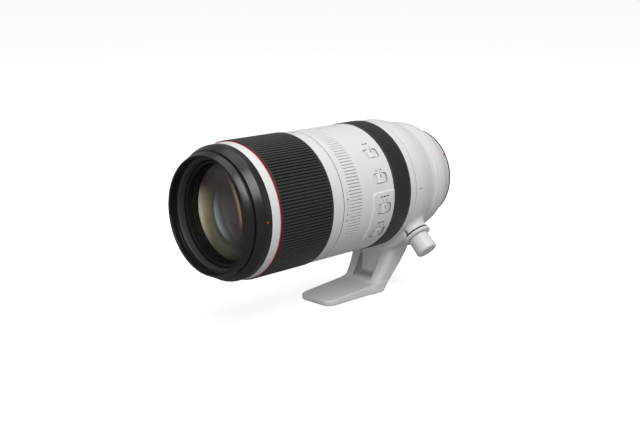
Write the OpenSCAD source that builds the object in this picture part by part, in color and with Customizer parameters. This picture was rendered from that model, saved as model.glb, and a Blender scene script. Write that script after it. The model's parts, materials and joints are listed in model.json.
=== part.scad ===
// Telephoto zoom lens with a rotating tripod collar, in millimetres.
// +Z is up, the front of the lens faces -Y, and +X is the side with the switches.
// The origin is the mouth of the tripod thread in the sole of the foot.
// Stations run along the optical axis, from 0 at the front rim towards the mount.

/* [Stations along the axis] */
// Length of the black front ring
front_ring_len = 16.8; // [15:0.1:24]
// Length of the white name ring
name_ring_len = 5.8; // [4:0.1:12]
// Length of the red trim ring
red_ring_len = 1.3; // [1:0.1:3]
// Length of the rubber zoom grip
zoom_grip_len = 46; // [40:0.5:60]
// Length of the white band behind the zoom grip
zoom_band_len = 10; // [8:0.5:14]
// Length of the zoom torque ring
torque_ring_len = 17.8; // [15:0.1:24]
// Length of the fixed barrel that carries the switches
switch_barrel_len = 32.1; // [30:0.1:42]
// Length of the rubber focus grip
focus_ring_len = 17.2; // [14:0.1:24]
// Length of the fixed white ring in front of the tripod collar
seat_ring_len = 6.2; // [5.5:0.1:12]
// Length of the tripod collar
collar_len = 22.3; // [20:0.1:30]
// Length of the rear barrel behind the collar
rear_barrel_len = 29.3; // [28:0.1:40]
// Thickness of the mount's plate
mount_plate_t = 1; // [0.8:0.1:2]
// Depth of the bayonet tube behind the plate
bayonet_len = 6.4; // [5:0.1:8]

/* [Radii] */
// Outer radius of the painted barrels
body_r = 46; // [44:0.5:56]
// How far the rubber grips stand out of the barrels
grip_rise = 0.5; // [0.2:0.1:1]
// How far the red trim ring stands out of the barrels
trim_rise = 0.9; // [0.5:0.1:2]
// Radius of the front rim
rim_r = 39.7; // [39.2:0.1:41]
// Wall radius of the filter thread
filter_r = 38.1; // [36:0.1:38.6]
// Clear radius of the retaining ring in front of the glass
front_clear_r = 33.4; // [28:0.1:34]
// Radius of the rear barrel at the mount
tail_r = 34.1; // [33.8:0.1:36]
// Outer radius of the mount's plate
mount_r = 33.3; // [31:0.1:33.5]
// Outer radius of the bayonet tube
bayonet_r = 25; // [24:0.1:27]
// How far the bayonet lugs stand out of their tube
lug_rise = 1.9; // [1:0.1:2.5]

/* [Walls] */
// Wall of the outer rings
shell_t = 2.5; // [2.2:0.1:4]
// Wall of the fixed guide barrel
guide_t = 1.6; // [1.4:0.1:2.5]
// Wall of the cam tube
cam_t = 1.3; // [1:0.1:2]
// Wall of the tube that slides out when zooming
extension_t = 2; // [1.5:0.1:3]
// Wall of the rubber grips
grip_t = 1.4; // [1.2:0.1:1.8]
// Wall of the rear barrel
rear_t = 2.2; // [1.8:0.1:2.6]

/* [Clearances] */
// Radial clearance between a ring and what it turns or slides on
run_gap = 0.1; // [0.05:0.01:0.1]
// Gap between the ends of neighbouring rings
ring_gap = 0.2; // [0.15:0.05:0.4]
// Visible gap in front of the torque ring and of the collar
wide_gap = 0.4; // [0.3:0.05:0.6]
// Clearance all round a part in its pocket
pocket_gap = 0.15; // [0.1:0.05:0.3]

/* [Zoom mechanism] */
// How far the front slides out
zoom_travel = 92; // [60:1:96]
// How far the zoom group moves forward
zoom_cell_travel = 14; // [8:1:16]
// How far the zoom ring turns
zoom_turn = 75; // [60:1:80]
// Radius of the cam followers' rollers
follower_r = 2; // [1.5:0.1:2.5]

/* [Switches] */
// Length of a switch's recess along the axis
recess_len = 13.2; // [12:0.1:16]
// Width of a switch's recess
recess_w = 7; // [6:0.1:8]
// Depth of a switch's recess under the surface round it
recess_deep = 1.4; // [1:0.1:1.8]
// Length of a slider
slider_len = 6.6; // [5:0.1:7]
// How far a slider stands out of the surface round it
slider_rise = 0.7; // [0.4:0.1:1]
// Height of the raised panel under the stabiliser switches
panel_rise = 0.8; // [0.4:0.1:1.2]

/* [Collar, stem and foot] */
// Height of the optical axis above the sole
axis_h = 80.5; // [76:0.5:100]
// Distance of the tripod thread behind the front rim
thread_setback = 120.1; // [110:0.1:140]
// How far the collar's hub stands out of the body radius
hub_rise = 5; // [4:0.1:8]
// Angle of the clamp knob below the horizontal
knob_angle = 43.5; // [38:0.5:50]
// Radius of the clamp knob
knob_r = 8; // [6:0.1:10]
// Length of the clamp knob
knob_len = 13.2; // [10:0.1:20]
// Radius of the boss under the knob
boss_r = 10.9; // [9:0.1:11]
// How far the boss stands out of the hub
boss_rise = 2.2; // [1:0.1:5]
// Length of the foot in front of the thread
foot_front = 23; // [16:0.5:40]
// Length of the foot behind the thread
foot_back = 34.5; // [32:0.5:40]
// Width of the foot at its toe
foot_toe_w = 30.6; // [26:0.1:40]
// Width of the foot at its heel
foot_heel_w = 33.4; // [28:0.1:44]
// Thickness of the foot at its toe
toe_t = 4.3; // [3.5:0.1:7]
// Thickness of the foot where the stem stands
heel_t = 7.6; // [6:0.1:10]
// Width of the stem under the hub
stem_w = 40; // [30:0.5:44]
// Wall of the stem's side ribs
rib_t = 6.5; // [4:0.1:8]
// Wall radius of the tripod thread
thread_r = 2.55; // [2.4:0.05:4]
// Length of the tripod thread
thread_len = 4.8; // [3.5:0.1:5]

/* [Hidden] */

ring_fn = 180;
small_fn = 32;

white = "gainsboro";
black = "#2b2b2e";
rubber = "#3a3a3d";
alloy = "silver";
glass = "lightcyan";

// Stations of the rings, each behind the last
s_name = front_ring_len;
s_red = s_name + name_ring_len;
s_red_end = s_red + red_ring_len;
s_zoom = s_red_end + ring_gap;
s_band = s_zoom + zoom_grip_len;
s_band_end = s_band + zoom_band_len;
s_torque = s_band_end + wide_gap;
s_torque_end = s_torque + torque_ring_len;
s_switch = s_torque_end + ring_gap;
s_switch_end = s_switch + switch_barrel_len;
s_focus = s_switch_end + ring_gap;
s_focus_end = s_focus + focus_ring_len;
s_seat = s_focus_end + ring_gap;
s_seat_end = s_seat + seat_ring_len;
s_collar = s_seat_end + wide_gap;
s_collar_end = s_collar + collar_len;
s_rear = s_collar_end + ring_gap;
s_plate = s_rear + rear_barrel_len;
s_flange = s_plate + mount_plate_t;

// Radii of the nested tubes, from the outer shells inwards
shell_in_r = body_r - shell_t;
guide_r = shell_in_r - run_gap;
guide_in_r = guide_r - guide_t;
cam_r = guide_in_r - run_gap;
cam_in_r = cam_r - cam_t;
extension_r = cam_in_r - run_gap;
extension_in_r = extension_r - extension_t;
grip_in_r = body_r + grip_rise - grip_t - 0.5;
seat_r = guide_in_r;
seat_in_r = seat_r - 2.2;
rear_r = seat_r - 0.5;
rear_in_r = rear_r - rear_t;
hub_r = body_r + hub_rise;
boss_top = hub_r + boss_rise;
knob_top = boss_top + ring_gap + knob_len;

// Places of the mechanism
guide_front = s_zoom + 0.7;
guide_end = s_seat + 5;
cam_front = guide_front + 2.2;
cam_end = guide_end - 2.2;
follower_angles = [90, 210, 330];
s_follower = guide_front + 6.3 + zoom_travel;
s_extension_end = s_follower + 4;
zoom_follower_angles = [30, 150, 270];
s_zoom_follower = cam_end - 7;
follower_root = 1;
s_key = s_band + 4;
key_len = 4;
key_angle = -10;
s_iris = guide_end + 1.3;
s_rods_end = s_rear + 6.7;
rod_r = 1.25;
rod_at = 34;

// Places of the switches: angle above the horizontal, and centre behind the switch barrel's front
limit_angle = 41.6;
focus_angle = 18.5;
stabiliser_angle = -8.1;
mode_angle = -31.8;
upper_switch_at = 19.9;
lower_switch_at = 21.2;
panel_at = 10.2;
panel_angles = [6.7, -44];

// Points on a circle, from one angle to another
function arc(x, y, r, a0, a1, n = 8) = [
  for (i = [0:n]) [x + r * cos(a0 + (a1 - a0) * i / n), y + r * sin(a0 + (a1 - a0) * i / n)]
];

// Puts children drawn along +Z on the optical axis, with the front rim at 0
module on_axis() {
  translate([0, -thread_setback, axis_h]) rotate([-90, 0, 0]) children();
}

// Puts children on a radius: their +Z points outwards, and their +X points to the front
module on_radius(angle, station) {
  on_axis() rotate([0, 0, -angle]) translate([0, 0, station]) rotate([0, 90, 0]) children();
}

// A body turned from [radius, station] points
module lathe(points) {
  on_axis() rotate_extrude($fn = ring_fn) polygon(points);
}

module tube(r_out, r_in, s0, s1) {
  lathe([[r_in, s0], [r_out, s0], [r_out, s1], [r_in, s1]]);
}

// A part of a tube between two angles, counted upwards from +X
module sector(r_out, r_in, s0, s1, a0, a1) {
  on_axis() rotate([0, 0, -a1]) rotate_extrude(angle = a1 - a0, $fn = ring_fn)
    polygon([[r_in, s0], [r_out, s0], [r_out, s1], [r_in, s1]]);
}

// A lens with a flat rim: positive sags bulge out of the ends at s0 and s1, negative ones are hollow
module lens(r, s0, s1, front_sag, back_sag, rim = 1) {
  n = 12;
  rc = r - rim;
  front = [for (i = [0:n]) [rc * i / n, s0 - front_sag * (1 - pow(i / n, 2))]];
  back = [for (i = [n:-1:0]) [rc * i / n, s1 + back_sag * (1 - pow(i / n, 2))]];
  lathe(concat(front, [[r, s0], [r, s1]], back));
}

// A slot with round ends, cut through a tube's wall
module straight_slot(angle, s0, s1, w) {
  on_radius(angle, 0) {
    for (s = [s0, s1]) translate([-s, 0, extension_in_r]) cylinder(d = w, h = 8, $fn = small_fn);
    translate([-s1, -w / 2, extension_in_r]) cube([s1 - s0, w, 8]);
  }
}

// A helical slot: it leads a follower forward by travel while the tube turns by zoom_turn
module cam_slot(angle, s_start, travel) {
  extra = follower_r + 1;
  turn = zoom_turn * (travel + 2 * extra) / travel;
  lead = atan(cam_r * zoom_turn * PI / 180 / travel);
  w = 2 * (follower_r + pocket_gap) / cos(lead);
  on_axis() translate([0, 0, s_start - travel - extra])
    rotate([0, 0, zoom_turn * (travel + extra) / travel - angle])
      linear_extrude(height = travel + 2 * extra, twist = turn, slices = 30, segments = 4)
        translate([cam_in_r - 2, -w / 2]) square([cam_t + 4, w]);
}

// ---- fixed barrel ----

module guide_barrel() {
  w = 2 * (follower_r + pocket_gap);
  color(black) difference() {
    tube(guide_r, guide_in_r, guide_front, guide_end);
    for (a = follower_angles) straight_slot(a, s_follower - zoom_travel, s_follower, w);
    for (a = zoom_follower_angles) {
      straight_slot(a, s_zoom_follower - zoom_cell_travel, s_zoom_follower, w);
    }
    sector(guide_r + 1, guide_in_r - 1, s_key - 1, s_key + key_len + 1,
      key_angle - 6, key_angle + zoom_turn + 6);
  }
}

module dust_seal() {
  color(rubber) tube(guide_in_r, extension_r + run_gap, guide_front, cam_front - ring_gap);
}

module torque_friction_band() {
  color("dimgray") tube(guide_r + 1, guide_r, s_torque + 4, s_torque_end - 4);
}

// The space of one switch's recess, cut into the surface of radius r
module recess(angle, station, r) {
  on_radius(angle, station) translate([-recess_len / 2, -recess_w / 2, r - recess_deep])
    cube([recess_len, recess_w, recess_deep + 3]);
}

module switch_barrel() {
  color(white) difference() {
    union() {
      tube(body_r, guide_r, s_switch, s_switch_end);
      sector(body_r + panel_rise, body_r - 1, s_switch + panel_at, s_switch_end,
        panel_angles[1], panel_angles[0]);
    }
    recess(limit_angle, s_switch + upper_switch_at, body_r);
    recess(focus_angle, s_switch + upper_switch_at, body_r);
    recess(stabiliser_angle, s_switch + lower_switch_at, body_r + panel_rise);
    recess(mode_angle, s_switch + lower_switch_at, body_r + panel_rise);
  }
}

module seat_barrel() {
  color(white) lathe([
    [guide_r, s_seat], [body_r, s_seat], [body_r, s_seat_end], [seat_r, s_seat_end],
    [seat_r, s_rear], [seat_in_r, s_rear], [seat_in_r, guide_end], [guide_r, guide_end]
  ]);
}

module rear_barrel() {
  s_cone = s_rear + 11.2;
  inner_s = s_plate - 3;
  color(white) difference() {
    lathe([
      [rear_in_r, s_rear], [rear_r, s_rear], [rear_r, s_rear + 3.8], [rear_r - 0.8, s_rear + 4.4],
      [rear_r - 0.8, s_rear + 5.6], [rear_r, s_rear + 6.2], [rear_r, s_cone],
      [rear_r - 1, s_cone + 5.6], [tail_r + 3, s_plate - 6.6], [tail_r + 0.3, s_plate - 1],
      [tail_r, s_plate], [bayonet_r, s_plate], [bayonet_r, inner_s],
      [tail_r - 1.6, inner_s], [tail_r + 0.8, s_plate - 7], [rear_in_r - 0.9, s_cone + 5],
      [rear_in_r, s_cone]
    ]);
    screw_shafts(pocket_gap);
    index_dot(0.05);
  }
}

// ---- camera mount ----

screw_at = (mount_r + bayonet_r) / 2;
screw_r = 0.9;
screw_head_r = 1.7;
screw_len = 4;

module screw_shafts(gap) {
  on_axis() for (a = [45:90:315]) rotate([0, 0, a]) translate([screw_at, 0, s_flange - screw_len])
    cylinder(r = screw_r + gap, h = screw_len, $fn = small_fn);
}

module screw_heads(gap) {
  on_axis() for (a = [45:90:315]) rotate([0, 0, a]) translate([screw_at, 0, s_flange - 0.6])
    cylinder(r = screw_head_r + gap, h = 0.6, $fn = small_fn);
}

module mount_flange() {
  lug_s = s_flange + bayonet_len - 2;
  color(alloy) difference() {
    union() {
      lathe([
        [bayonet_r - 2.4, s_plate], [mount_r, s_plate], [mount_r, s_flange], [bayonet_r, s_flange],
        [bayonet_r, s_flange + bayonet_len], [bayonet_r - 2.4, s_flange + bayonet_len]
      ]);
      for (a = [60:120:300]) sector(bayonet_r + lug_rise, bayonet_r - 1, lug_s, lug_s + 1.5, a - 25, a + 25);
    }
    screw_shafts(pocket_gap);
    screw_heads(pocket_gap);
  }
}

module mount_screws() {
  color("#909398") difference() {
    union() {
      screw_shafts(0);
      screw_heads(0);
    }
    on_axis() for (a = [45:90:315]) rotate([0, 0, a]) translate([screw_at, 0, s_flange - 0.4]) {
      for (t = [0, 90]) rotate([0, 0, t]) translate([-1, -0.2, 0]) cube([2, 0.4, 1]);
    }
  }
}

module mount_gasket() {
  color(rubber) tube(tail_r, mount_r, s_plate, s_flange + 0.3);
}

dot_r = 1.3;
mount_dot_angle = 31;

module index_dot(gap) {
  on_radius(mount_dot_angle, s_plate - 3.2) translate([0, 0, tail_r - 0.2])
    cylinder(r = dot_r + gap, h = 1.5, $fn = small_fn);
}

module mount_index_dot() {
  color("red") index_dot(0);
}

module rear_baffle() {
  r = bayonet_r - 2.4;
  s_rim = s_plate + 1.7;
  s_end = s_flange + bayonet_len - 0.5;
  color(black) difference() {
    lathe([[r - 7, s_plate], [r, s_plate], [r, s_end], [r - 1.8, s_end], [r - 1.8, s_rim], [r - 7, s_rim]]);
    sector(r + 1, r - 3, s_rim, s_end + 1, -127, -53);
  }
}

contact_angles = [-117.5:5:-62.5];

module contact_pin_row(gap) {
  on_axis() for (a = contact_angles) rotate([0, 0, -a])
    translate([bayonet_r - 4.2, 0, s_flange + 1.5])
      cylinder(r = 0.6 + gap, h = bayonet_len - 1.5, $fn = small_fn);
}

module contact_block() {
  r = bayonet_r - 2.4;
  color(black) difference() {
    sector(r, r - 3.6, s_plate + 1.7, s_flange + bayonet_len - 0.5, -124, -56);
    contact_pin_row(0.05);
  }
}

module contact_pins() {
  color("gold") contact_pin_row(0);
}

// ---- optics and drives held in the fixed barrel ----

rear_glass_r = 20.2;
focus_glass_r = 17.5;
stabiliser_glass_r = 16.5;

module rear_lens_cell() {
  s0 = s_rods_end;
  color(black) difference() {
    lathe([
      [rear_glass_r - 1.5, s0], [rear_in_r, s0], [rear_in_r, s0 + 2], [24, s0 + 2],
      [24, s_plate - 3.2], [rear_glass_r, s_plate - 3.2], [rear_glass_r, s0 + 6], [rear_glass_r - 1.5, s0 + 6]
    ]);
  }
}

module rear_element() {
  color(glass) lens(rear_glass_r, s_rods_end + 6, s_rods_end + 10.5, -1.2, 1.5);
}

module stabiliser_base() {
  color(black) difference() {
    tube(seat_in_r, stabiliser_glass_r + 3, s_iris, s_iris + 2.4);
    rods(run_gap / 2);
  }
}

module rods(gap) {
  on_axis() for (a = [90, 270]) rotate([0, 0, a]) translate([rod_at, 0, s_iris + 0.4])
    cylinder(r = rod_r + gap, h = s_rods_end - s_iris - 0.4, $fn = small_fn);
}

module focus_guide_rods() {
  color(alloy) rods(0);
}

module focus_motors() {
  color("dimgray") on_axis() for (a = [0, 180]) rotate([0, 0, a])
    translate([30, -5, s_iris + 2.4]) cube([5, 10, s_rods_end - s_iris - 2.4]);
}

module circuit_board() {
  s0 = s_rods_end + 2.2;
  color("darkgreen") tube(rear_in_r - 1.5, 26, s0, s0 + 1.2);
  color(black) on_axis() for (a = [20:55:350]) rotate([0, 0, a])
    translate([28.5, -2.5, s0 + 1.2]) cube([5, 5, 1]);
}

// ---- zoom ring and cam ----

module zoom_ring() {
  color(white) lathe([
    [shell_in_r, s_zoom], [grip_in_r, s_zoom], [grip_in_r, s_band], [body_r, s_band],
    [body_r, s_band_end], [shell_in_r, s_band_end]
  ]);
}

module zoom_grip() {
  color(rubber) tube(body_r + grip_rise, grip_in_r, s_zoom, s_band);
}

module cam_tube() {
  color(alloy) difference() {
    tube(cam_r, cam_in_r, cam_front, cam_end);
    for (a = follower_angles) cam_slot(a, s_follower, zoom_travel);
    for (a = zoom_follower_angles) cam_slot(a, s_zoom_follower, zoom_cell_travel);
  }
}

module zoom_key() {
  color(alloy) sector(shell_in_r, cam_r, s_key, s_key + key_len, key_angle - 4, key_angle + 4);
}

// ---- front barrel, which slides out ----

s_socket = s_name - 5.2;
front_glass_r = front_clear_r + 0.8;
glass_seat_s = s_socket + 2;

module extension_tube() {
  color(white) difference() {
    tube(extension_r, extension_in_r, s_socket, s_extension_end);
    rollers(follower_angles, s_follower, extension_r - follower_root);
  }
}

module front_ring() {
  color(black) difference() {
    lathe([
      [filter_r + 0.9, 0], [rim_r - 0.3, 0], [rim_r, 0.4], [rim_r + 0.6, 2], [rim_r + 1.6, 4],
      [rim_r + 1.8, 5], [rim_r + 0.9, 5.2], [rim_r + 0.9, 6], [rim_r + 2.5, 6.2],
      [body_r - 2.8, 8], [body_r - 1.1, 11.2], [body_r - 0.9, 12.4], [body_r - 0.9, s_name],
      [extension_r, s_name], [extension_r, s_socket], [filter_r - 1.5, s_socket],
      [filter_r - 1.5, 5.1], [filter_r, 5.1], [filter_r, 0.9]
    ]);
    hood_dot(0.05);
  }
}

module hood_dot(gap) {
  on_radius(2, s_name - 4) translate([0, 0, body_r - 1.7])
    cylinder(r = 0.8 + gap, h = 0.85, $fn = small_fn);
}

module hood_index_dot() {
  color("red") hood_dot(0);
}

module name_ring() {
  color(white) lathe([
    [extension_r, s_name], [body_r - 0.9, s_name], [body_r - 0.6, s_name + 0.4],
    [body_r - 0.5, s_red], [extension_r, s_red]
  ]);
}

module red_ring() {
  color("crimson") tube(body_r + trim_rise, extension_r, s_red, s_red_end);
}

module front_retainer() {
  r = filter_r - 1.5;
  color(black) lathe([
    [r - 0.6, 6], [r, 6], [r, s_socket], [front_clear_r, s_socket], [front_clear_r, s_socket - 0.8],
    [front_clear_r + 1.6, s_socket - 2.2], [front_clear_r + 1.8, s_socket - 3.6]
  ]);
}

module front_cell() {
  lip_r = front_glass_r - 1.6;
  s1 = glass_seat_s + 3;
  s2 = s1 + 3.4;
  s3 = s2 + 6.5;
  color(black) lathe([
    [front_glass_r, s_socket], [extension_in_r, s_socket], [extension_in_r, s3 + 4],
    [front_glass_r - 3, s3 + 4], [front_glass_r - 3, s3], [front_glass_r, s3],
    [front_glass_r, s2], [lip_r, s2], [lip_r, s1], [front_glass_r, s1]
  ]);
}

module front_element() {
  color(glass) lens(front_glass_r, s_socket, glass_seat_s + 3, 3.6, -1.6);
}

module second_element() {
  s0 = glass_seat_s + 6.4;
  color(glass) lens(front_glass_r, s0, s0 + 6.5, -1.2, 1.8, rim = 3.2);
}

// Rollers on radii, from r0 out to just under the guide barrel's surface
module rollers(angles, station, r0) {
  color("goldenrod") for (a = angles) on_radius(a, station) translate([0, 0, r0])
    cylinder(r = follower_r, h = guide_r - pocket_gap - r0, $fn = small_fn);
}

module cam_followers() {
  rollers(follower_angles, s_follower, extension_r - follower_root);
}

// ---- zoom group ----

module zoom_cell() {
  s0 = s_zoom_follower - 5;
  color(black) difference() {
    lathe([
      [18, s0 + 3], [extension_r - 2.5, s0 + 3], [extension_r - 2.5, s0], [extension_r, s0],
      [extension_r, s0 + 10], [extension_r - 2.5, s0 + 10], [extension_r - 2.5, s0 + 7],
      [21, s0 + 7], [21, s0 + 9.5], [18, s0 + 9.5]
    ]);
    rollers(zoom_follower_angles, s_zoom_follower, extension_r - follower_root);
  }
}

module zoom_element() {
  s0 = s_zoom_follower - 2;
  color(glass) lens(18, s0, s0 + 5, -0.8, -1);
}

module zoom_followers() {
  rollers(zoom_follower_angles, s_zoom_follower, extension_r - follower_root);
}

// ---- turning rings ----

module torque_ring() {
  color(white) lathe([
    [shell_in_r, s_torque], [body_r, s_torque], [body_r, s_torque_end], [shell_in_r, s_torque_end],
    [shell_in_r, s_torque_end - 3.5], [guide_r + 1 + run_gap, s_torque_end - 3.5],
    [guide_r + 1 + run_gap, s_torque + 3.5], [shell_in_r, s_torque + 3.5]
  ]);
}

module focus_ring() {
  color(black) tube(grip_in_r, shell_in_r, s_focus, s_focus_end);
}

module focus_grip() {
  color(rubber) tube(body_r + grip_rise, grip_in_r, s_focus, s_focus_end);
}

// ---- switches ----

module slider(angle, station, r) {
  floor_z = r - recess_deep + pocket_gap;
  h = r + slider_rise - floor_z;
  w = recess_w - 2 * pocket_gap;
  color(white) on_radius(angle, station) {
    translate([-slider_len / 2, -w / 2, floor_z]) cube([slider_len, w, h - 0.5]);
    translate([-slider_len / 4, -w / 2 + 0.4, floor_z]) cube([slider_len / 2, w - 0.8, h]);
  }
}

module limit_switch() {
  slider(limit_angle, s_switch + upper_switch_at, body_r);
}

module focus_switch() {
  slider(focus_angle, s_switch + upper_switch_at, body_r);
}

module stabiliser_switch() {
  slider(stabiliser_angle, s_switch + lower_switch_at, body_r + panel_rise);
}

module mode_switch() {
  slider(mode_angle, s_switch + lower_switch_at, body_r + panel_rise);
}

// ---- tripod collar ----

s_knob = s_collar + collar_len / 2 - 0.2;
collar_bore = seat_r + run_gap;
shoe_r = 5;
screw_stem_r = 3;
foot_top_y = foot_back - 9.5;
collar_y = s_collar - thread_setback;
collar_end_y = s_collar_end - thread_setback;
hub_z = axis_h - hub_r;

// Extrudes a [y, z] outline across the lens, centred on it
module across(w) {
  rotate([90, 0, 90]) translate([0, 0, -w / 2]) linear_extrude(w) children();
}

module foot() {
  r_toe = 6;
  r_heel = 4;
  a = foot_toe_w / 2;
  b = foot_heel_w / 2;
  intersection() {
    across(foot_heel_w + 2) polygon(concat(
      [[-foot_front + 1, 0], [foot_back - 1.2, 0], [foot_back, 1.6], [foot_back, heel_t]],
      [[foot_top_y, heel_t], [-foot_front + 2.5, toe_t]],
      [[-foot_front + 0.6, toe_t - 1], [-foot_front, toe_t - 2.4], [-foot_front, 1]]
    ));
    linear_extrude(heel_t + 1) polygon(concat(
      arc(a - r_toe, -foot_front + r_toe, r_toe, -90, 0),
      arc(b - r_heel, foot_back - r_heel, r_heel, 0, 90),
      arc(-b + r_heel, foot_back - r_heel, r_heel, 90, 180),
      arc(-a + r_toe, -foot_front + r_toe, r_toe, 180, 270)
    ));
  }
}

// The stem leans back from the heel of the foot to the hub and widens upwards.
// A pocket in its front leaves two ribs and a web.
module stem() {
  half = foot_heel_w / 2;
  top = hub_z + 6;
  z_mid = (heel_t + hub_z) / 2;
  y_front = collar_y + 5.3;
  y_mid = (foot_top_y + y_front) / 2 - 0.5;
  difference() {
    intersection() {
      across(stem_w) polygon([
        [foot_back, 1.6], [foot_back + 7.8, 10.5], [collar_end_y - 8.2, hub_z - 10],
        [collar_end_y - 3.8, hub_z - 3.5], [collar_end_y, hub_z + 1.5], [collar_end_y, top],
        [y_front - 1.5, top], [y_front - 0.2, hub_z - 1], [y_mid + 0.7, z_mid],
        [foot_top_y + 1.5, heel_t + 1.8], [foot_top_y - 3, heel_t - 0.6]
      ]);
      rotate([90, 0, 0]) translate([0, 0, -collar_end_y - 1]) linear_extrude(collar_end_y + 1) polygon([
        [-half, 0], [half, 0], [half, heel_t], [stem_w / 2, hub_z - 2], [stem_w / 2, top],
        [-stem_w / 2, top], [-stem_w / 2, hub_z - 2], [-half, heel_t]
      ]);
    }
    across(foot_heel_w - 2 * rib_t) polygon([
      [foot_top_y - 6, heel_t + 0.6], [foot_top_y + 7, heel_t + 3], [y_mid + 7, z_mid],
      [y_front + 4, hub_z - 2], [y_front - 8, hub_z - 2]
    ]);
  }
}

module tripod_collar() {
  color(white) difference() {
    union() {
      lathe([
        [seat_in_r, s_collar], [body_r - 0.4, s_collar], [body_r, s_collar + 0.4],
        [body_r, s_collar + 7.5], [body_r - 1, s_collar + 13.3], [body_r - 2.6, s_collar_end - 3],
        [body_r - 3.1, s_collar_end - 0.5], [body_r - 3.5, s_collar_end], [seat_in_r, s_collar_end]
      ]);
      sector(hub_r, body_r - 4, s_collar, s_collar_end, -139, -knob_angle + 1);
      on_radius(-knob_angle, s_knob) translate([0, 0, seat_r]) cylinder(r = boss_r, h = boss_top - seat_r, $fn = 64);
      stem();
      foot();
    }
    tube(collar_bore, 5, s_collar - 5, s_collar_end + 5);
    on_radius(-knob_angle, s_knob) {
      translate([0, 0, seat_r - 3]) cylinder(r = shoe_r + run_gap, h = hub_r - 3 - seat_r + 3, $fn = small_fn);
      translate([0, 0, seat_r]) cylinder(r = screw_stem_r + run_gap, h = 20, $fn = small_fn);
    }
    on_radius(-knob_angle, s_collar + 1.5) translate([-3, -0.4, body_r]) cube([6, 0.8, hub_rise - 0.8]);
    translate([0, 0, -1]) cylinder(r = 4.5, h = thread_len + 1, $fn = small_fn);
  }
}

module thread_insert() {
  color(alloy) difference() {
    cylinder(r = 4.5, h = thread_len, $fn = small_fn);
    translate([0, 0, -1]) cylinder(r = thread_r, h = thread_len + 2, $fn = small_fn);
  }
}

module clamp_knob() {
  r0 = boss_top + ring_gap;
  color(white) on_radius(-knob_angle, s_knob) difference() {
    translate([0, 0, r0]) rotate_extrude($fn = 64) polygon([
      [0, 0], [knob_r - 0.4, 0], [knob_r, knob_len - 1.4], [knob_r - 0.4, knob_len - 0.4],
      [knob_r - 1.4, knob_len], [0, knob_len]
    ]);
    translate([0, 0, r0 - 1]) cylinder(r = screw_stem_r, h = 8, $fn = small_fn);
  }
}

module knob_screw() {
  r0 = boss_top + ring_gap;
  color(alloy) on_radius(-knob_angle, s_knob) {
    translate([0, 0, hub_r - 2.9]) cylinder(r = screw_stem_r, h = r0 + 7 - hub_r + 2.9, $fn = small_fn);
    translate([0, 0, seat_r + 3.2]) cylinder(r = 2.5, h = hub_r - 2.8 - seat_r - 3.2, $fn = small_fn);
  }
}

module brake_shoe() {
  color("peru") difference() {
    on_radius(-knob_angle, s_knob) translate([0, 0, seat_r - 1]) cylinder(r = shoe_r, h = 6, $fn = small_fn);
    tube(seat_r + 0.05, 5, s_collar - 5, s_collar_end + 5);
    on_radius(-knob_angle, s_knob) translate([0, 0, seat_r + 2.2]) cylinder(r = 2.6, h = 10, $fn = small_fn);
  }
}

// ---- focus group and stabiliser ----

s_focus_cell = s_iris + 13;
s_stabiliser = s_iris + 2.7;

module focus_cell() {
  color(black) difference() {
    union() {
      tube(focus_glass_r + 3, focus_glass_r, s_focus_cell, s_focus_cell + 8);
      on_axis() for (a = [90, 270]) rotate([0, 0, a]) {
        translate([rod_at, 0, s_focus_cell]) cylinder(r = 3, h = 8, $fn = small_fn);
        translate([focus_glass_r + 1.5, -2, s_focus_cell + 2]) cube([rod_at - focus_glass_r - 4, 4, 4]);
      }
    }
    on_axis() for (a = [90, 270]) rotate([0, 0, a]) translate([rod_at, 0, s_focus_cell - 1])
      cylinder(r = rod_r + run_gap / 2, h = 10, $fn = small_fn);
  }
}

module focus_element() {
  color(glass) lens(focus_glass_r, s_focus_cell + 2, s_focus_cell + 5, 0.8, -0.8);
}

module stabiliser_frame() {
  color(black) tube(28, stabiliser_glass_r + 5, s_stabiliser, s_stabiliser + 2);
}

module stabiliser_cell() {
  color(black) tube(26, stabiliser_glass_r, s_stabiliser + 2.3, s_stabiliser + 6.5);
}

module stabiliser_element() {
  color(glass) lens(stabiliser_glass_r, s_stabiliser + 2.8, s_stabiliser + 6, 0.6, -0.8);
}

guide_barrel();
dust_seal();
torque_friction_band();
switch_barrel();
seat_barrel();
rear_barrel();
mount_flange();
mount_gasket();
mount_screws();
mount_index_dot();
rear_baffle();
contact_block();
contact_pins();
rear_lens_cell();
rear_element();
stabiliser_base();
focus_guide_rods();
focus_motors();
circuit_board();
zoom_ring();
zoom_grip();
cam_tube();
zoom_key();
extension_tube();
front_ring();
name_ring();
red_ring();
front_retainer();
front_cell();
front_element();
second_element();
cam_followers();
hood_index_dot();
zoom_cell();
zoom_element();
zoom_followers();
torque_ring();
focus_ring();
focus_grip();
limit_switch();
focus_switch();
stabiliser_switch();
mode_switch();
tripod_collar();
thread_insert();
clamp_knob();
knob_screw();
brake_shoe();
focus_cell();
focus_element();
stabiliser_frame();
stabiliser_cell();
stabiliser_element();
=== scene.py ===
import json
import math

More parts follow.
